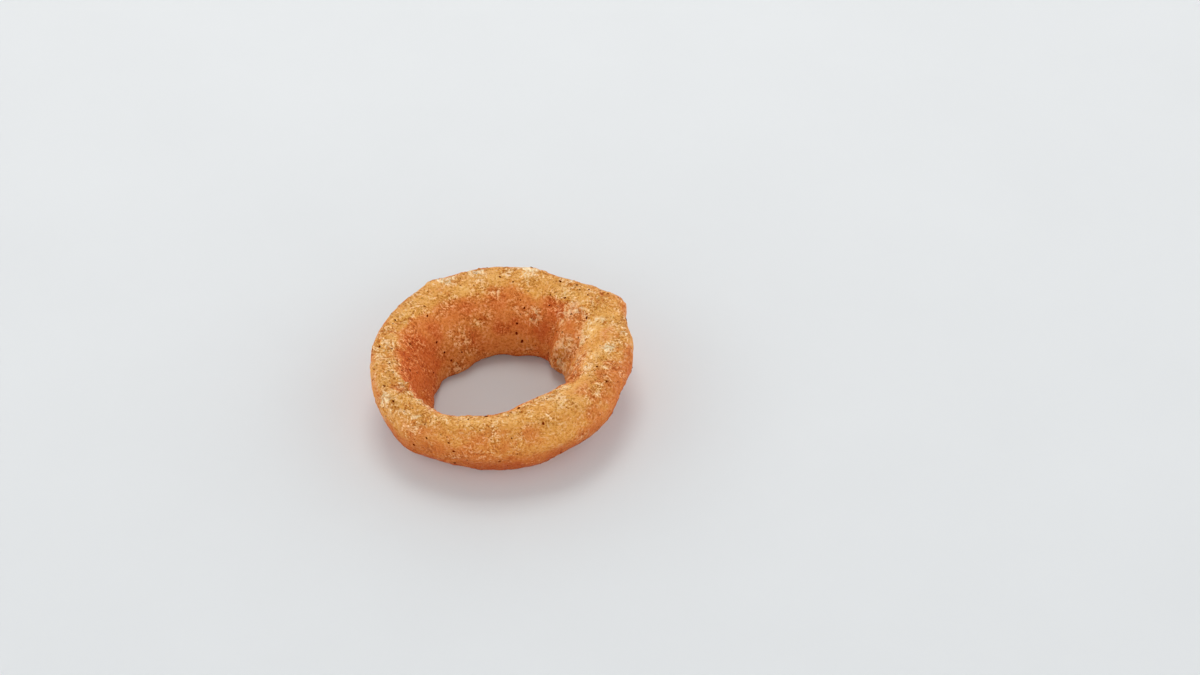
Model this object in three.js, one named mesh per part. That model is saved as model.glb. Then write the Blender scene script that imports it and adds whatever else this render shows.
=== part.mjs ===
// One battered onion ring, deep-fried, lying on its narrower side.
//
// The ring is a thick band that flares upwards, as the wall of a sliced onion does, under a smooth, lumpy coat
// of batter. Its section is a rounded box stretched between four closed rails: the inner and outer edges of the
// rim above, and those of the foot below. Low swellings and hollows in the batter are then added to it.
//
// Millimetres, +Z up. The origin is under the middle of the ring's box, on the surface that it lies on.

import * as THREE from 'three';

// ---- driving sizes -------------------------------------------------------------------------------------------

const HEIGHT = 19; // of the wall with its coat
const SQUASH = 0.6; // how much of the underside is pressed flat by the ring's own weight in the basket
const ARCH = 0.9; // how far the foot rises between the three places that it rests on
const ARCHES = 3;
const ARCH_TURN = 35; // degrees from +X to the middle of the first resting place
const FOOT_BOXINESS = 2.5; // superellipse exponent of the section's lower half: 2 is an ellipse, and more is boxier
const RING_STEPS = 128;
const SECTION_STEPS = 36;

// Radii of the four rails, anticlockwise from +X in equal steps. The ring was never round, and its hole lies
// off its middle, so the wall's rim is about 19 mm thick at the front right and 11 mm at the left.
const RIM_OUTER = [39.5, 41.5, 41.5, 40.5, 42, 41, 40, 38.5, 39.5, 40, 40.5, 39.5, 39, 39.5, 39.5, 39.5];
const RIM_INNER = [22, 24.5, 26.5, 24.5, 26, 25.5, 26, 27.5, 28, 29.5, 30, 28.5, 23.5, 20, 19, 20.5];
const FOOT_OUTER = [30.5, 30, 29.5, 27, 26.5, 26.5, 26, 25.5, 29, 34, 36, 34, 33, 33, 31.5, 30];
const FOOT_INNER = [16, 16, 15.5, 15.5, 13.5, 13, 12, 15, 16, 17.5, 22.5, 23, 21.5, 19.5, 18.5, 17.5];

// How far the rim stands above or below HEIGHT at the same places.
const RIM_RISE = [0, 0.3, 0.5, 0.1, 0, -0.2, 0, 0.2, 0, -0.4, -0.5, -0.3, 0, 0.2, 0.1, -0.2];

// Superellipse exponents of the section's upper half at the same places: of its quarter by the crest of the hole,
// which is crisp at the back left and broad at the right, and of its outer shoulder, which is round at the front.
const CREST_BOXINESS = [2.2, 2.4, 2.7, 3.1, 3.2, 3.2, 3.2, 3.2, 3.2, 3.2, 3.2, 3, 2.8, 2.6, 2.4, 2.2];
const SHOULDER_BOXINESS = [2.3, 2.5, 2.5, 2.5, 2.5, 2.5, 2.5, 2.5, 2.5, 2.3, 2.1, 2, 2, 2, 2, 2.1];

// Swellings (over 0) and hollows (under 0) of the coat. `at` is the place round the ring and `round` the place
// round its section, both in degrees: 0 is the outside, 90 the top, 180 the wall of the hole and 270 the foot.
// `reach` and `reachRound` are how far each spreads, in degrees, and `rise` is its height in millimetres.
const SWELLINGS = [
  { name: 'blunt corner', at: 34, reach: 7, round: 20, reachRound: 50, rise: 3.9 },
  { name: 'batter run at the back', at: 76, reach: 6, round: 60, reachRound: 60, rise: 0.9 },
  { name: 'shoulder at the back left', at: 124, reach: 6, round: 30, reachRound: 50, rise: 1.9 },
  { name: 'small point at the right', at: 358, reach: 4, round: 5, reachRound: 30, rise: 0.8 },
  { name: 'low corner at the front right', at: 328, reach: 8, round: 330, reachRound: 50, rise: 0.8 },
  { name: 'fold inside the back right', at: 37, reach: 8, round: 180, reachRound: 45, rise: 1.9 },
  { name: 'dimple above the fold', at: 33, reach: 4, round: 140, reachRound: 16, rise: -0.8 },
  { name: 'hollow beside the fold', at: 56, reach: 7.5, round: 182, reachRound: 42, rise: -2.1 },
  { name: 'ridge beyond the hollow', at: 69, reach: 5, round: 162, reachRound: 28, rise: 0.9 },
  { name: 'lip at the front left', at: 212, reach: 14, round: 140, reachRound: 16, rise: 1.5 },
  { name: 'hollow under the lip', at: 208, reach: 15, round: 172, reachRound: 20, rise: -1.5 },
  { name: 'pinched top at the front left', at: 236, reach: 9, round: 85, reachRound: 25, rise: -0.7 },
  { name: 'dent in the top at the right', at: 355, reach: 6, round: 75, reachRound: 22, rise: -0.7 },
];

// Long low waves all over the coat: crests round the ring, crests round the section, height and start in degrees.
const WAVES = [
  { crests: 7, crestsRound: 1, rise: 0.2, start: 20 },
  { crests: 11, crestsRound: -2, rise: 0.15, start: 110 },
  { crests: 16, crestsRound: 3, rise: 0.08, start: 250 },
];

// ---- shape ---------------------------------------------------------------------------------------------------

const radians = THREE.MathUtils.degToRad;
const STATIONS = RIM_OUTER.length;
const turnOf = (station) => (station / STATIONS) * 2 * Math.PI;

/** A closed curve through one radius and one height for each station. */
function rail(radii, heightAt) {
  const points = radii.map((radius, station) => {
    const turn = turnOf(station);
    return new THREE.Vector3(radius * Math.cos(turn), radius * Math.sin(turn), heightAt(station));
  });
  return new THREE.CatmullRomCurve3(points, true, 'catmullrom');
}

const rimHeight = (station) => HEIGHT - SQUASH + RIM_RISE[station];
const footHeight = (station) =>
  -SQUASH + (ARCH / 2) * (1 - Math.cos(ARCHES * (turnOf(station) - radians(ARCH_TURN))));

const rails = {
  rimOuter: rail(RIM_OUTER, rimHeight),
  rimInner: rail(RIM_INNER, rimHeight),
  footOuter: rail(FOOT_OUTER, footHeight),
  footInner: rail(FOOT_INNER, footHeight),
};

const signedPower = (value, exponent) => Math.sign(value) * Math.abs(value) ** exponent;

/** One of the values given for the stations, changing evenly from each station to the next. */
function valueAt(values, share) {
  const place = share * STATIONS;
  const station = Math.floor(place);
  return THREE.MathUtils.lerp(values[station % STATIONS], values[(station + 1) % STATIONS], place - station);
}

/** The superellipse exponent at a place, which differs from quarter to quarter of the section. */
function boxinessAt(share, round) {
  if (Math.sin(round) <= 0) {
    return FOOT_BOXINESS;
  }
  return valueAt(Math.cos(round) < 0 ? CREST_BOXINESS : SHOULDER_BOXINESS, share);
}

/** The shortest way from one angle to another, from -PI to PI. */
const between = (a, b) => Math.atan2(Math.sin(a - b), Math.cos(a - b));

/** How far the coat stands out at a place, in millimetres. */
function coatRelief(turn, round) {
  const swollen = SWELLINGS.reduce((sum, s) => {
    const along = between(turn, radians(s.at)) / radians(s.reach);
    const across = between(round, radians(s.round)) / radians(s.reachRound);
    return sum + s.rise * Math.exp(-along * along - across * across);
  }, 0);
  const waved = WAVES.reduce(
    (sum, w) => sum + w.rise * Math.sin(w.crests * turn + w.crestsRound * round + radians(w.start)),
    0,
  );
  return swollen + waved;
}

/** A point of the surface: turn is the angle round the ring and round the angle round its section. */
function surfacePoint(turn, round) {
  const share = turn / (2 * Math.PI);
  const boxiness = boxinessAt(share, round);
  const outward = (1 + signedPower(Math.cos(round), 2 / boxiness)) / 2;
  const upward = (1 + signedPower(Math.sin(round), 2 / boxiness)) / 2;
  const [rimInner, rimOuter] = [rails.rimInner.getPoint(share), rails.rimOuter.getPoint(share)];
  const [footInner, footOuter] = [rails.footInner.getPoint(share), rails.footOuter.getPoint(share)];
  const inSection = (out, up) =>
    footInner.clone().lerp(footOuter, out).lerp(rimInner.clone().lerp(rimOuter, out), up);
  const point = inSection(outward, upward);
  const away = point.clone().sub(inSection(0.5, 0.5)).normalize();
  point.addScaledVector(away, coatRelief(turn, round));
  point.z = Math.max(point.z, 0);
  return point;
}

/** A unit torus, which gives the grid of faces, with every vertex moved to its place on the ring. */
function ringGeometry() {
  const geometry = new THREE.TorusGeometry(1, 0.5, SECTION_STEPS, RING_STEPS);
  const places = geometry.getAttribute('uv');
  const positions = geometry.getAttribute('position');
  for (let i = 0; i < positions.count; i += 1) {
    const turn = (places.getX(i) % 1) * 2 * Math.PI;
    const round = (places.getY(i) % 1) * 2 * Math.PI;
    positions.setXYZ(i, ...surfacePoint(turn, round));
  }
  geometry.computeBoundingBox();
  const middle = geometry.boundingBox.getCenter(new THREE.Vector3());
  geometry.translate(-middle.x, -middle.y, 0);
  geometry.computeVertexNormals();
  return geometry;
}

// ---- the model -----------------------------------------------------------------------------------------------

const friedBatter = new THREE.MeshStandardMaterial({ color: 0xd1914e, roughness: 0.55, metalness: 0 });

const onionRing = new THREE.Mesh(ringGeometry(), friedBatter);
onionRing.name = 'onion_ring';

const part = new THREE.Group();
part.add(onionRing);

export default part;
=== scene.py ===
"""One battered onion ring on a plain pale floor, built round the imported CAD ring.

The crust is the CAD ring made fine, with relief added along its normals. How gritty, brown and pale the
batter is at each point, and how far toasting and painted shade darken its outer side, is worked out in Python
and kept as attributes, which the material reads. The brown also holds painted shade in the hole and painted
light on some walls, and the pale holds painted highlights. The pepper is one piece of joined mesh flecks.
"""

import math
from typing import NamedTuple

import bmesh
import bpy
import numpy as np
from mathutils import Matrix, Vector


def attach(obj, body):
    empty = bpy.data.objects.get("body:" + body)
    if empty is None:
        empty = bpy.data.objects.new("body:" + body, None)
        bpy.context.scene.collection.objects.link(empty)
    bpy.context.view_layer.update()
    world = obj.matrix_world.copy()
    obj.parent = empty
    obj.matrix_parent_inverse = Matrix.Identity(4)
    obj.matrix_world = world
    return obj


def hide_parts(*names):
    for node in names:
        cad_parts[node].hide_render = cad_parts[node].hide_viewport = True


MM = 0.001

# ---- the camera and the light ------------------------------------------------------------------------------

# LENS and SENSOR are in millimetres and DISTANCE is in metres. AIM_PIXEL is where the middle of the ring,
# which is AIM_HEIGHT millimetres above the floor, falls in the picture.
PICTURE = (1200, 675)
AIM_PIXEL = (502.7, 370.1)
AIM_HEIGHT = 9.5
LENS = 85.0
SENSOR = 36.0
DISTANCE = 0.8
ELEVATION = math.radians(40)

# The one lamp, a square above and behind the ring, in metres.
LAMP_AT = (-0.06, 0.66, 1.15)
LAMP_WIDTH = 0.62
LAMP_POWER = 5.2
LAMP_COLOUR = (1.03, 1.0, 0.96)

# The light that comes from the studio's walls and from its ceiling. It fades from the one to the other
# between the horizon and the height whose sine is CEILING_FROM.
WALL_LIGHT = 2.95
CEILING_LIGHT = 0.1
CEILING_FROM = 0.9
STUDIO_COLOUR = (0.98, 1.0, 1.02, 1.0)

FLOOR_HALF = 3.0  # metres from the ring to the edge of the floor

# ---- the crust, in millimetres -----------------------------------------------------------------------------

SEEDS = {"grit": 11, "relief": 20, "brown": 31, "specks": 5}
RIPPLES = 72  # sine waves in each random field
RIPPLE_SPREAD = (0.7, 1.4)  # what the wavelength asked for is divided by, at random, for each of them

SUBDIVISIONS = 2

# The layers of the crust's relief: how far apart the bumps are and how high, and how much of the layer there
# is everywhere, for each unit of grit and for each unit of crinkles.
RELIEF = {
    "lumps": {"wave": 9.0, "height": 0.08, "even": 1.0, "grit": 0.0, "crinkle": 0.0},
    "dimples": {"wave": 4.2, "height": 0.05, "even": 0.5, "grit": 0.5, "crinkle": 0.5},
    "blisters": {"wave": 2.3, "height": 0.08, "even": 0.1, "grit": 0.9, "crinkle": 1.5},
    "curls": {"wave": 1.5, "height": 0.08, "even": 0.0, "grit": 0.2, "crinkle": 2.0},
    "sand": {"wave": 1.1, "height": 0.045, "even": 0.1, "grit": 0.9, "crinkle": 0.5},
}
FLAT_FOOT = (0.0, 0.8)  # heights between which the relief sets in, so that the foot stays flat where it rests
CRINKLE_LIMITS = (0, 1.2)

# What counts as the wall of the hole, the outer side and the underside: how far the normal has to point
# inwards, outwards or down for each of them to set in and to be complete.
FACING_HOLE = (0.25, 0.75)
FACING_OUT = (0.0, 0.8)
FACING_DOWN = (0.1, 0.8)
LOW_TO_HIGH = (4, 17)  # heights between which the low part of the wall gives way to the high part

# How gritty the batter is without the patches. GRIT_RANGE goes from smooth to GRITTIEST.
GRIT_WAVE = 7
GRIT_UNEVEN = 0.8
GRIT_ON_TOP = 0.5
GRIT_IN_HOLE = -0.3
GRIT_OUTSIDE = -0.6
GRIT_RANGE = (-1.5, 2.2)
GRITTIEST = 1.5

# How brown the batter is without the patches: -0.5 is pale gold, about 0 is gold and 1 is deep orange brown.
# The brown added in the hole and on the outer side, most of all low down, is partly browning and partly
# painted shade.
BROWN_EVERYWHERE = 0.05
BROWN_AND_SHADE_OUTSIDE = 0.2
BROWN_AND_SHADE_LOW_OUTSIDE = 0.4
BROWN_AND_SHADE_IN_HOLE = 0.72
BROWN_UNDER = 0.35
BROWN_WAVES = [{"wave": 11, "amount": 0.08}, {"wave": 5, "amount": 0.03}]
BROWN_LIMITS = (-0.5, 1.1)

# Paleness on the raised relief is partly painted highlight on the bumps.
PALE_AND_HIGHLIGHT_ON_BUMPS = 1.2  # for each millimetre that the relief stands out
PALE_LIMITS = (-1, 2)
# The outer side is darkened by toasting and by painted shade, most of all low down.
TOAST_AND_SHADE_HIGH = 0.5  # how toasted the outer side is high up, where it is 1 low down


class Patch(NamedTuple):
    """A place where the batter differs: its middle, its reach, and how much of each quality it adds there.

    A value over 0 makes the batter grittier, browner, paler or more crinkled, and one under 0 makes it
    smoother, more golden, less pale or less crinkled. Paler is partly painted highlight: the material paints
    cream glints and curls where the batter is pale.
    """

    at: tuple
    reach: float
    grit: float = 0.0
    brown: float = 0.0
    pale: float = 0.0
    crinkle: float = 0.0


# A pale value over 0 paints highlights as well as paler batter, along the crests, the lip, the fold and the
# back edge of the rim.
PATCHES = {
    # The wall of the hole at the right, with the fold and the hollow beside it.
    # Painted light on the right wall: less brown.
    "painted light on the right wall": Patch((21, 5, 12), 9, grit=-0.3, brown=-0.25),
    "ridge by the hollow": Patch((8.5, 20, 14.5), 2.2, grit=1.4, brown=-0.15, pale=1.3, crinkle=1.0),
    "lower ridge by the hollow": Patch((9, 18.3, 11.6), 2.2, grit=1.4, brown=-0.25, pale=1.4, crinkle=1.0),
    "brown crest by the hollow": Patch((7.1, 21.9, 16), 2, brown=0.35, pale=-0.6),
    "smooth hollow": Patch((11, 18.5, 9.5), 3.5, grit=-2.5, brown=0.25, pale=-0.8, crinkle=-0.8),
    "golden crest by the fold": Patch((17, 22.2, 18), 2, brown=-0.35, pale=0.2),
    "crest of the fold": Patch((21, 17.5, 17.6), 2.5, grit=1.0, pale=1.2, crinkle=0.6),
    "upper fold": Patch((16.5, 18, 15.5), 4, grit=1.0, pale=1.1, crinkle=1.0),
    "brown edge of the fold": Patch((15.5, 19, 15.2), 2.2, brown=0.4, pale=-0.5),
    "smooth spot in the fold": Patch((19, 12.5, 14.8), 1.8, grit=-3.0, brown=0.35, pale=-1.2, crinkle=-1.0),
    "middle of the fold": Patch((13, 17.5, 9.5), 2.5, grit=1.0, brown=-0.2, pale=0.6, crinkle=0.8),
    # Painted light on the fold and its foot: paler and less brown.
    "painted light on the fold": Patch((18, 9.5, 11.5), 4, grit=1.0, brown=-0.25, pale=1.3, crinkle=1.0),
    "painted light at the foot of the fold": Patch((16, 8, 4), 4.5, grit=0.9, brown=-0.45, pale=1.1, crinkle=1.0),
    "inside of the right crest": Patch((19.5, -1.5, 11.5), 3.5, grit=0.8, brown=-0.4, pale=1.2, crinkle=0.7),
    # The rest of the wall of the hole.
    "back wall": Patch((0, 18, 5), 8, grit=-0.9, brown=-0.14, pale=-0.2),
    "brown crest at the back": Patch((-2, 23.4, 16.5), 2.5, brown=0.3, pale=-0.3),
    "brown crest at the back left": Patch((-16.5, 17.8, 16.1), 3, brown=0.35, pale=-0.2),
    "mottled wall at the back left": Patch((-11, 20, 9), 6, grit=0.9, brown=-0.2, pale=0.2),
    # Painted light on the back left wall: less brown and a little paler.
    "painted light on the wall at the back left": Patch((-12.5, 12, 7.2), 6, grit=0.3, brown=-0.32, pale=0.15),
    # Painted shade on the left wall: browner and less pale.
    "painted shade on the left wall": Patch((-24, -2, 9), 9, grit=-0.2, brown=0.45, pale=-0.2),
    "front wall": Patch((0, -18, 8), 13, grit=0.4, brown=-0.25, pale=0.2),
    # The rim at the right, and the outer side below it.
    "right crest": Patch((22, 12, 17), 3.5, grit=0.8, brown=-0.2, pale=0.7, crinkle=0.2),
    "nearer right crest": Patch((22.5, -1, 16), 5, brown=-0.2, pale=0.4),
    "end of the right crest": Patch((21, -8, 16), 3, grit=0.8, brown=-0.1, pale=0.8, crinkle=0.3),
    "pale right rim": Patch((24.6, 7.7, 16.8), 3, grit=0.3, brown=-0.7, pale=0.7),
    "golden dip": Patch((28, 7, 18.3), 4, grit=-1.5, brown=0.15, pale=-0.4),
    # Painted highlight: a white glint on a blister.
    "painted highlight on the blister": Patch((30, -0.2, 18.2), 1.6, grit=1.5, brown=-0.3, pale=3.0, crinkle=0.8),
    "pale spot behind the blister": Patch((29, 11.5, 18.5), 2.2, grit=1.2, brown=-0.1, pale=1.0, crinkle=0.4),
    "pale right edge": Patch((33.7, 6.5, 18), 2, grit=1.0, pale=1.0, crinkle=0.3),
    "browned right edge": Patch((34, -3, 15), 5, brown=0.45),
    "browned corner": Patch((31, 23, 18.5), 6, grit=0.6, brown=0.15, crinkle=0.2),
    "browned right shoulder": Patch((32, -14, 15), 7, grit=0.4, brown=0.5, crinkle=0.2),
    "golden front right": Patch((18, -31, 13), 6, grit=-0.3, brown=-0.2),
    # The rim at the front and the left, with the lip beside the crest.
    "crest at the front right": Patch((14, -19, 17.8), 3, grit=0.8, brown=-0.1, pale=0.9, crinkle=0.3),
    "crest at the front": Patch((-6, -23.5, 17.3), 3, grit=0.8, brown=-0.2, pale=1.5, crinkle=0.7),
    "crest at the front left": Patch((-19, -20, 17), 3.5, grit=1.0, brown=-0.1, pale=1.8, crinkle=1.0),
    "front left rim": Patch((-26.5, -24, 17), 7, grit=1.0, brown=-0.4, pale=0.4, crinkle=0.3),
    "pale front left edge": Patch((-22.4, -29.7, 16.7), 2.5, grit=0.5, brown=-0.2, pale=1.0, crinkle=0.2),
    # Painted highlight along a streak at the front left.
    "painted highlight streak at the front left": Patch((-31.6, -20.5, 17), 2.2, grit=0.5, brown=-0.1, pale=1.1, crinkle=0.4),
    "lip": Patch((-26, -15.5, 17), 3, grit=1.0, brown=-0.1, pale=1.8, crinkle=1.2),
    "orange spot by the lip": Patch((-25, -24, 17.5), 3, grit=0.3, brown=0.5, pale=-0.6),
    "orange spot behind the lip": Patch((-28.5, -17.4, 18), 3, brown=0.5, pale=-1.0),
    "left rim": Patch((-31, -2, 18), 7, grit=1.0, pale=0.4, crinkle=0.2),
    # The rim at the back.
    # The pale values on the back rim paint highlights along its back edge.
    "back left rim": Patch((-17, 29.7, 18.3), 2.2, grit=1.0, brown=-0.1, pale=2.2, crinkle=0.4),
    "back rim": Patch((-8.4, 33.5, 18.3), 2.5, grit=0.8, brown=-0.1, pale=2.0, crinkle=0.3),
    "back rim, further right": Patch((6, 33.5, 18.6), 3, grit=0.8, brown=-0.1, pale=1.6, crinkle=0.3),
}

# ---- the pepper, in millimetres and in shares of a speck's length ------------------------------------------

SPECKS = 290
SPECK_TRIES = 3 * SPECKS
SPECK_SPACING = 1.6
SPECK_LENGTH = (0.3, 1.3)
SPECK_WIDTH = (0.45, 0.9)
SPECK_THICKNESS = 0.4
SPECK_JITTER = (0.75, 1.25)  # what each corner's place is multiplied by
SPECK_CLEARANCE = 0.05  # above the floor

# ---- the colours and the sizes of the grains ---------------------------------------------------------------


def srgb(red, green, blue):
    """A shader colour from the 0 to 255 numbers of a screen."""
    screen = [c / 255 for c in (red, green, blue)]
    return (*(c / 12.92 if c <= 0.04045 else ((c + 0.055) / 1.055) ** 2.4 for c in screen), 1.0)


# The batter's own colours, and how brown it is where each has taken over from the one before.
BROWNING = [
    (-0.5, srgb(246, 197, 120)),
    (0.05, srgb(225, 160, 76)),
    (0.5, srgb(216, 130, 60)),
    (1.0, srgb(203, 100, 42)),
]
# Pale grains, partly painted highlights, and the colours of painted glints and curls.
PALE_GRAIN = srgb(255, 202, 138)
ORANGE_GRAIN = srgb(244, 166, 100)
CREAM_GLINT = srgb(255, 224, 172)
ORANGE_GLINT = srgb(255, 200, 136)
DARK_GRAIN = (0.62, 0.37, 0.17, 1.0)
# What toasting and painted shade multiply the outer side's colour by.
TOAST_AND_SHADE = (0.68, 0.58, 0.52, 1.0)
PEPPER_SHADES = srgb(78, 15, 0), srgb(116, 32, 0)
FLOOR_SHADES = srgb(221, 223, 224), srgb(226, 228, 229)

# The sizes of the grains and clouds in the materials, and the depth of the batter's bumps, in millimetres.
CLUSTERS = 2.4
BLOTCHES = 1.3
SAND = 0.36
CURLS = 1.3
PEPPER_GRAIN = 0.3
FLOOR_CLOUDS = 30
BUMP_DEPTH = 0.9
CURL_WIDTH = 0.08  # as a share of the noise's range


# ---- meshes and random fields ------------------------------------------------------------------------------


def add_object(name, data):
    made = bpy.data.objects.new(name, data)
    bpy.context.collection.objects.link(made)
    return made


def vectors(items, key):
    """One vector of each vertex or normal of a mesh, as rows."""
    flat = np.empty(len(items) * 3, np.float32)
    items.foreach_get(key, flat)
    return flat.reshape(-1, 3).astype(float)


def set_attribute(mesh, name, values):
    mesh.attributes.new(name, "FLOAT", "POINT").data.foreach_set("value", values.astype(np.float32))


def smoothstep(low, high, x):
    t = np.clip((x - low) / (high - low), 0, 1)
    return t * t * (3 - 2 * t)


def ripples(points, wave, seed):
    """A smooth random field with standard deviation 1, whose bumps are about half a wavelength across."""
    rng = np.random.default_rng(seed)
    ways = rng.normal(size=(RIPPLES, 3))
    lengths = np.linalg.norm(ways, axis=1, keepdims=True)
    ways *= 2 * math.pi / wave * rng.uniform(*RIPPLE_SPREAD, (RIPPLES, 1)) / lengths
    starts = rng.uniform(0, 2 * math.pi, RIPPLES)
    return np.sin(points @ ways.T + starts).sum(1) * math.sqrt(2 / RIPPLES)


def patch_sum(points, key):
    """The sum of one of the patches' values at each point, in millimetres."""
    total = np.zeros(len(points))
    for patch in PATCHES.values():
        far = np.linalg.norm(points - patch.at, axis=1) / patch.reach
        total += getattr(patch, key) * np.exp(-far * far)
    return total


# ---- the crust ---------------------------------------------------------------------------------------------


def fine_ring(node):
    """A copy of the CAD ring with its triangles joined into quads and subdivided."""
    grid = bmesh.new()
    grid.from_mesh(node.data)
    bmesh.ops.remove_doubles(grid, verts=grid.verts, dist=1e-6)
    wide = math.radians(60)
    bmesh.ops.join_triangles(
        grid, faces=grid.faces, angle_face_threshold=wide, angle_shape_threshold=wide
    )
    coarse = bpy.data.meshes.new("coarse_ring")
    grid.to_mesh(coarse)
    grid.free()
    ring = add_object("crust", coarse)
    ring.modifiers.new("fine", "SUBSURF").levels = SUBDIVISIONS
    graph = bpy.context.evaluated_depsgraph_get()
    ring.data = bpy.data.meshes.new_from_object(ring.evaluated_get(graph))
    ring.modifiers.clear()
    ring.data.polygons.foreach_set("use_smooth", [True] * len(ring.data.polygons))
    return ring


def facing(points, normals):
    """How much each point faces the hole, the outside and the floor, from 0 to 1."""
    outward = np.einsum("ij,ij->i", normals[:, :2], points[:, :2]) / np.linalg.norm(points[:, :2], axis=1)
    in_hole = smoothstep(*FACING_HOLE, -outward)
    outside = smoothstep(*FACING_OUT, outward)
    under = smoothstep(*FACING_DOWN, -normals[:, 2])
    return in_hole, outside, under


def grit_at(points, up, in_hole, outside):
    """How gritty the batter is at each point, from 0 to GRITTIEST."""
    uneven = GRIT_UNEVEN * ripples(points, GRIT_WAVE, SEEDS["grit"]) + patch_sum(points, "grit")
    grit = uneven + GRIT_ON_TOP * up + GRIT_IN_HOLE * in_hole + GRIT_OUTSIDE * outside
    return GRITTIEST * smoothstep(*GRIT_RANGE, grit)


def relief_at(points, grit):
    """How far the crust stands out at each point, in millimetres."""
    crinkle = np.clip(patch_sum(points, "crinkle"), *CRINKLE_LIMITS)
    relief = np.zeros(len(points))
    for i, layer in enumerate(RELIEF.values()):
        strength = layer["even"] + layer["grit"] * grit + layer["crinkle"] * crinkle
        relief += layer["height"] * strength * ripples(points, layer["wave"], SEEDS["relief"] + i)
    return relief


def brown_at(points, low, in_hole, outside, under):
    """How brown the batter is at each point, within BROWN_LIMITS: partly browning, partly painted shade in
    the hole and on the outer side, and less brown where patches paint light.
    """
    sides = BROWN_EVERYWHERE + (BROWN_AND_SHADE_OUTSIDE + BROWN_AND_SHADE_LOW_OUTSIDE * low) * outside
    sides = sides + BROWN_AND_SHADE_IN_HOLE * in_hole + BROWN_UNDER * under
    uneven = sum(
        field["amount"] * ripples(points, field["wave"], SEEDS["brown"] + i)
        for i, field in enumerate(BROWN_WAVES)
    )
    return np.clip(sides + (uneven + patch_sum(points, "brown")), *BROWN_LIMITS)


def crust(node):
    """The ring as it looks, with the attributes that its material reads."""
    ring = fine_ring(node)
    mesh = ring.data
    rest = vectors(mesh.vertices, "co") / MM
    normals = vectors(mesh.vertex_normals, "vector")
    in_hole, outside, under = facing(rest, normals)
    low = 1 - smoothstep(*LOW_TO_HIGH, rest[:, 2])
    grit = grit_at(rest, normals[:, 2], in_hole, outside)
    relief = relief_at(rest, grit)

    moved = rest + normals * (relief * smoothstep(*FLAT_FOOT, rest[:, 2]))[:, None]
    moved[:, 2] = np.maximum(moved[:, 2], 0)
    mesh.vertices.foreach_set("co", (moved * MM).astype(np.float32).ravel())
    mesh.update()

    set_attribute(mesh, "grit", grit)
    # The brown attribute also holds painted shade and painted light, and the pale one painted highlights.
    set_attribute(mesh, "brown", brown_at(rest, low, in_hole, outside, under))
    set_attribute(mesh, "pale", np.clip(patch_sum(rest, "pale") + PALE_AND_HIGHLIGHT_ON_BUMPS * relief, *PALE_LIMITS))
    set_attribute(mesh, "toast_and_shade", outside * (TOAST_AND_SHADE_HIGH + (1 - TOAST_AND_SHADE_HIGH) * low))
    mesh.materials.clear()
    mesh.materials.append(batter_material())
    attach(ring, "root")
    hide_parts(node.name)
    return ring


# ---- the pepper --------------------------------------------------------------------------------------------


def scattered_faces(mesh, rng):
    """The faces that carry a speck: large faces more often than small ones, and none too near another."""
    areas = np.empty(len(mesh.polygons), np.float32)
    mesh.polygons.foreach_get("area", areas)
    shares = areas.astype(float) / areas.astype(float).sum()
    chosen = []
    for index in rng.choice(len(shares), SPECK_TRIES, replace=False, p=shares):
        face = mesh.polygons[index]
        if all((face.center - other.center).length > SPECK_SPACING * MM for other in chosen):
            chosen.append(face)
    return chosen[:SPECKS]


def spun(point, angle):
    """A point turned about Z."""
    across = point.x * math.cos(angle) - point.y * math.sin(angle)
    along = point.x * math.sin(angle) + point.y * math.cos(angle)
    return Vector((across, along, point.z))


def add_fleck(flecks, face, rng):
    """An uneven flake of pepper that lies on a face of the crust."""
    shortest, longest = SPECK_LENGTH
    length = rng.triangular(shortest, shortest, longest) * MM
    spin = rng.uniform(0, 2 * math.pi)
    size = Vector((length, length * rng.uniform(*SPECK_WIDTH), length * SPECK_THICKNESS))
    turn = face.normal.to_track_quat("Z", "X").to_matrix()
    for vertex in bmesh.ops.create_icosphere(flecks, subdivisions=1, radius=0.5)["verts"]:
        jitter = Vector(rng.uniform(*SPECK_JITTER, 3))
        corner = Vector(a * b * c for a, b, c in zip(vertex.co, size, jitter))
        vertex.co = face.center + turn @ spun(corner, spin)


def specks(ring):
    """Dark flecks of pepper, half sunk in the crust and scattered evenly over it."""
    rng = np.random.default_rng(SEEDS["specks"])
    flecks = bmesh.new()
    for face in scattered_faces(ring.data, rng):
        add_fleck(flecks, face, rng)
    for vertex in flecks.verts:
        vertex.co.z = max(vertex.co.z, SPECK_CLEARANCE * MM)
    made = bpy.data.meshes.new("pepper_specks")
    flecks.to_mesh(made)
    flecks.free()
    made.materials.append(pepper_material())
    piece = add_object("pepper_specks", made)
    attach(piece, "root")


# ---- materials ---------------------------------------------------------------------------------------------


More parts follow.
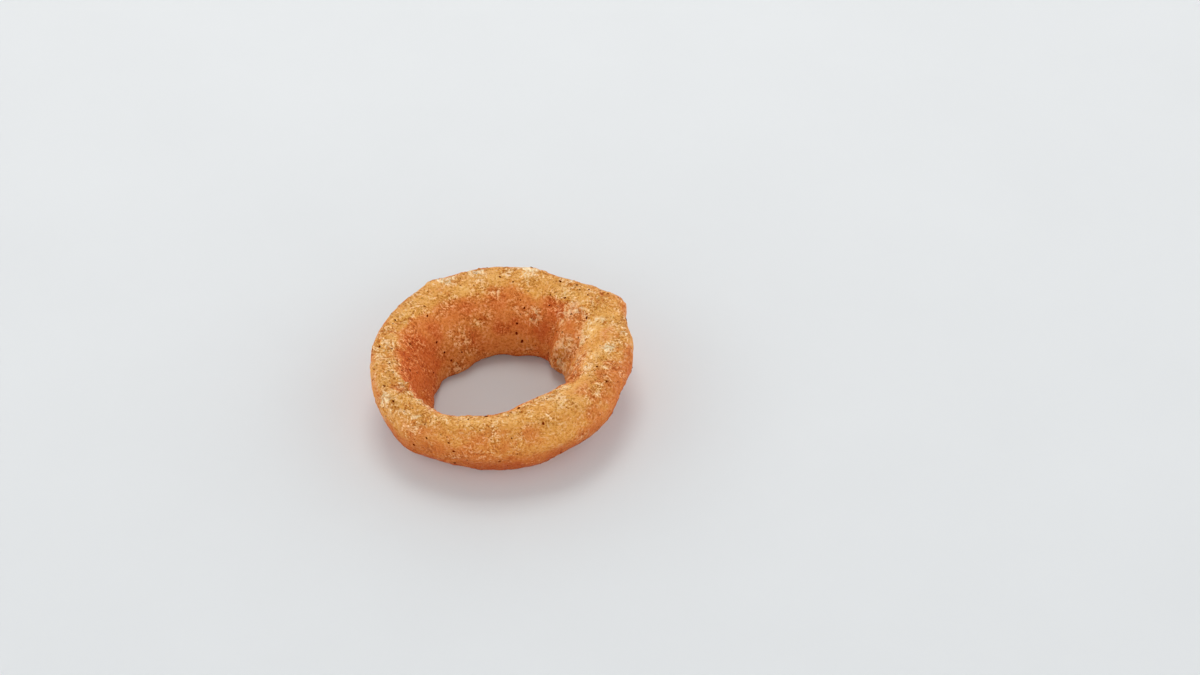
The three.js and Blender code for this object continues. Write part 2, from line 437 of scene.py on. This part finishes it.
class Nodes:
    """A short way to add shader nodes to a new material and link them."""

    def __init__(self, name):
        self.material = bpy.data.materials.new(name)
        self.material.use_nodes = True
        self.tree = self.material.node_tree
        self.shader = self.tree.nodes["Principled BSDF"]

    def add(self, kind, inputs=None, **settings):
        node = self.tree.nodes.new("ShaderNode" + kind)
        for key, value in settings.items():
            setattr(node, key, value)
        for key, value in (inputs or {}).items():
            self.put(node.inputs[key], value)
        return node

    def put(self, socket, value):
        if isinstance(value, bpy.types.NodeSocket):
            self.tree.links.new(value, socket)
        else:
            socket.default_value = value

    def attribute(self, name):
        return self.add("Attribute", attribute_name=name).outputs["Fac"]

    def noise(self, size, detail=2.0, rough=0.55):
        """Noise from 0 to 1, with blobs about size metres across."""
        place = self.add("TexCoord").outputs["Object"]
        inputs = {"Vector": place, "Scale": 0.5 / size, "Detail": detail, "Roughness": rough}
        return self.add("TexNoise", inputs).outputs["Fac"]

    def curls(self, size, width):
        """Thin winding lines, 1 in their middles: the places where a noise is close to its middle value."""
        off = self.math("ABSOLUTE", self.math("SUBTRACT", self.noise(size, detail=1), 0.5))
        return self.ramp(off, width, 0.0)

    def ramp(self, value, low, high, to=(0.0, 1.0)):
        """A smooth change, from to[0] where the value is low to to[1] where it is high."""
        inputs = {"Value": value, "From Min": low, "From Max": high, "To Min": to[0], "To Max": to[1]}
        return self.add("MapRange", inputs, interpolation_type="SMOOTHSTEP").outputs["Result"]

    def math(self, operation, a, b=0.0):
        return self.add("Math", {0: a, 1: b}, operation=operation).outputs[0]

    def times(self, a, b):
        return self.math("MULTIPLY", a, b)

    def plus(self, a, b, weight):
        """The sum of a and weight times b."""
        return self.math("ADD", a, self.times(b, weight))

    def mix(self, share, a, b, blend="MIX"):
        node = self.add("Mix", data_type="RGBA", blend_type=blend)
        for socket, value in zip((node.inputs[0], node.inputs[6], node.inputs[7]), (share, a, b)):
            self.put(socket, value)
        return node.outputs[2]

    def tint(self, share, a, b):
        return self.mix(share, a, b, "MULTIPLY")


def browning(n, browned):
    """The batter's own colour, from pale gold to orange brown."""
    (start, colour), *browner = BROWNING
    for end, next_colour in browner:
        colour = n.mix(n.ramp(browned, start, end), colour, next_colour)
        start = end
    return colour


def batter_material():
    """Fried batter: gold to orange brown, sandy with paler and darker grains, and a little oily. The paler
    grains are partly painted highlights, with painted cream glints and curls over them.
    """
    n = Nodes("fried_batter")
    grit, brown, pale, toast_and_shade = (n.attribute(name) for name in ("grit", "brown", "pale", "toast_and_shade"))
    clusters = n.noise(CLUSTERS * MM)
    blotches = n.noise(BLOTCHES * MM, detail=1, rough=0.6)
    blotchy = n.times(n.math("SUBTRACT", blotches, 0.5), n.ramp(grit, 0.3, 1.4, to=(0.15, 0.8)))
    fine = n.noise(SAND * MM, detail=1.5, rough=0.9)
    sand = n.plus(fine, blotchy, 0.1)
    curls = n.times(n.curls(CURLS * MM, CURL_WIDTH), n.ramp(pale, 0.3, 1.4))
    strength = n.ramp(grit, 0.0, 1.5, to=(0.55, 1.0))

    # The batter itself, darkened on the outer side by toasting and painted shade, with darker grains where it
    # is sandy.
    browned = n.math("ADD", brown, n.ramp(clusters, 0.3, 0.7, to=(0.12, -0.12)))
    browned = n.plus(browned, blotchy, -1.2)
    batter = n.tint(toast_and_shade, browning(n, browned), TOAST_AND_SHADE)
    dark = n.times(n.ramp(sand, 0.5, 0.34), n.ramp(pale, 0.2, 1.5, to=(1.0, 0.6)))
    batter = n.tint(n.times(dark, strength), batter, DARK_GRAIN)

    # Paler grains, partly painted highlights, and painted cream glints and curls over them where it is pale.
    paler = n.plus(n.plus(fine, blotchy, 0.7), pale, 0.05)
    light = n.times(n.ramp(paler, 0.5, 0.67), n.ramp(pale, 0.6, 1.5, to=(1.0, 0.5)))
    light = n.times(light, n.ramp(grit, 0.2, 1.4, to=(0.3, 1.0)))
    grain = n.mix(n.ramp(browned, 0.2, 0.8), PALE_GRAIN, ORANGE_GRAIN)
    batter = n.mix(light, batter, n.tint(toast_and_shade, grain, TOAST_AND_SHADE))
    glints = n.math("MAXIMUM", n.times(n.ramp(paler, 0.6, 0.7), n.ramp(pale, -0.2, 0.8)), curls)
    glint = n.mix(n.ramp(browned, 0.0, 0.4), CREAM_GLINT, ORANGE_GLINT)
    n.put(n.shader.inputs["Base Color"], n.mix(n.times(glints, 0.9), batter, glint))

    # A dull surface, bumpy where it is sandy, with a film of oil on the paler grains and the glints.
    inputs = {"Height": n.plus(sand, curls, 0.3), "Strength": strength, "Distance": BUMP_DEPTH * MM}
    bump = n.add("Bump", inputs).outputs[0]
    n.put(n.shader.inputs["Normal"], bump)
    n.shader.inputs["Roughness"].default_value = 0.6
    n.shader.inputs["Specular IOR Level"].default_value = 0.08
    n.shader.inputs["Subsurface Weight"].default_value = 0.08
    n.shader.inputs["Subsurface Radius"].default_value = (1.0, 0.45, 0.15)
    n.shader.inputs["Subsurface Scale"].default_value = 0.6 * MM
    oily = n.times(n.ramp(paler, 0.55, 0.66), n.ramp(browned, 0.3, 0.9, to=(1.0, 0.3)))
    n.put(n.shader.inputs["Coat Weight"], n.math("MAXIMUM", oily, glints))
    n.put(n.shader.inputs["Coat Normal"], bump)
    n.shader.inputs["Coat Roughness"].default_value = 0.16
    n.shader.inputs["Coat IOR"].default_value = 1.7
    return n.material


def pepper_material():
    n = Nodes("pepper")
    grains = n.ramp(n.noise(PEPPER_GRAIN * MM), 0.35, 0.65)
    n.put(n.shader.inputs["Base Color"], n.mix(grains, *PEPPER_SHADES))
    n.shader.inputs["Roughness"].default_value = 1.0
    n.shader.inputs["Specular IOR Level"].default_value = 0.0
    return n.material


def floor_material():
    n = Nodes("pale_floor")
    n.put(n.shader.inputs["Base Color"], n.mix(n.noise(FLOOR_CLOUDS * MM, detail=4), *FLOOR_SHADES))
    n.shader.inputs["Roughness"].default_value = 0.8
    return n.material


# ---- the set -----------------------------------------------------------------------------------------------


def floor():
    made = bpy.data.meshes.new("floor")
    corners = [(x * FLOOR_HALF, y * FLOOR_HALF, 0) for x, y in ((-1, -1), (1, -1), (1, 1), (-1, 1))]
    made.from_pydata(corners, [], [(0, 1, 2, 3)])
    made.materials.append(floor_material())
    piece = add_object("floor", made)


def studio_walls():
    """Pale walls all round, brighter than the ceiling, which light the sides of things."""
    world = bpy.data.worlds.new("studio")
    bpy.context.scene.world = world
    world.use_nodes = True
    tree = world.node_tree
    direction = tree.nodes.new("ShaderNodeTexCoord").outputs["Generated"]
    split = tree.nodes.new("ShaderNodeSeparateXYZ")
    fade = tree.nodes.new("ShaderNodeMapRange")
    fade.interpolation_type = "SMOOTHSTEP"
    fade.inputs["From Max"].default_value = CEILING_FROM
    fade.inputs["To Min"].default_value = WALL_LIGHT
    fade.inputs["To Max"].default_value = CEILING_LIGHT
    tree.links.new(direction, split.inputs[0])
    tree.links.new(split.outputs["Z"], fade.inputs["Value"])
    background = tree.nodes["Background"]
    tree.links.new(fade.outputs["Result"], background.inputs["Strength"])
    background.inputs["Color"].default_value = STUDIO_COLOUR


def key_lamp():
    """A square lamp that faces the ring."""
    lamp = bpy.data.lights.new("key", "AREA")
    lamp.size = LAMP_WIDTH
    lamp.color = LAMP_COLOUR
    lamp.energy = LAMP_POWER
    holder = add_object("key", lamp)
    holder.location = LAMP_AT
    holder.rotation_euler = (-Vector(LAMP_AT)).to_track_quat("-Z", "Y").to_euler()


def camera():
    """Aimed so that the ring's middle falls at AIM_PIXEL."""
    middle = Vector((0, 0, AIM_HEIGHT * MM))
    back = Vector((0, -math.cos(ELEVATION), math.sin(ELEVATION)))
    right = Vector((1, 0, 0))
    pixel = DISTANCE * SENSOR / LENS / PICTURE[0]
    shift_right = (PICTURE[0] / 2 - AIM_PIXEL[0]) * pixel
    shift_up = (AIM_PIXEL[1] - PICTURE[1] / 2) * pixel
    target = middle + right * shift_right + back.cross(right) * shift_up
    lens = bpy.data.cameras.new("camera")
    lens.lens = LENS
    lens.sensor_width = SENSOR
    holder = add_object("camera", lens)
    holder.location = target + back * DISTANCE
    holder.rotation_euler = back.to_track_quat("Z", "Y").to_euler()
    bpy.context.scene.camera = holder


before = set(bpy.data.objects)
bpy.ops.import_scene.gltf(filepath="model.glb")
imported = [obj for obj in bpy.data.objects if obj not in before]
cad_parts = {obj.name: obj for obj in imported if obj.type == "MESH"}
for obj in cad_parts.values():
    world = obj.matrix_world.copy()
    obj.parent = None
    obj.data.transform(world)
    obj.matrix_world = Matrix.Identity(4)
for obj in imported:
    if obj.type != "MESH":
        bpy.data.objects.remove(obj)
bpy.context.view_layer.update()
camera()
studio_walls()
key_lamp()
bpy.context.scene.view_settings.view_transform = "Standard"
floor()
specks(crust(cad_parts["onion_ring"]))
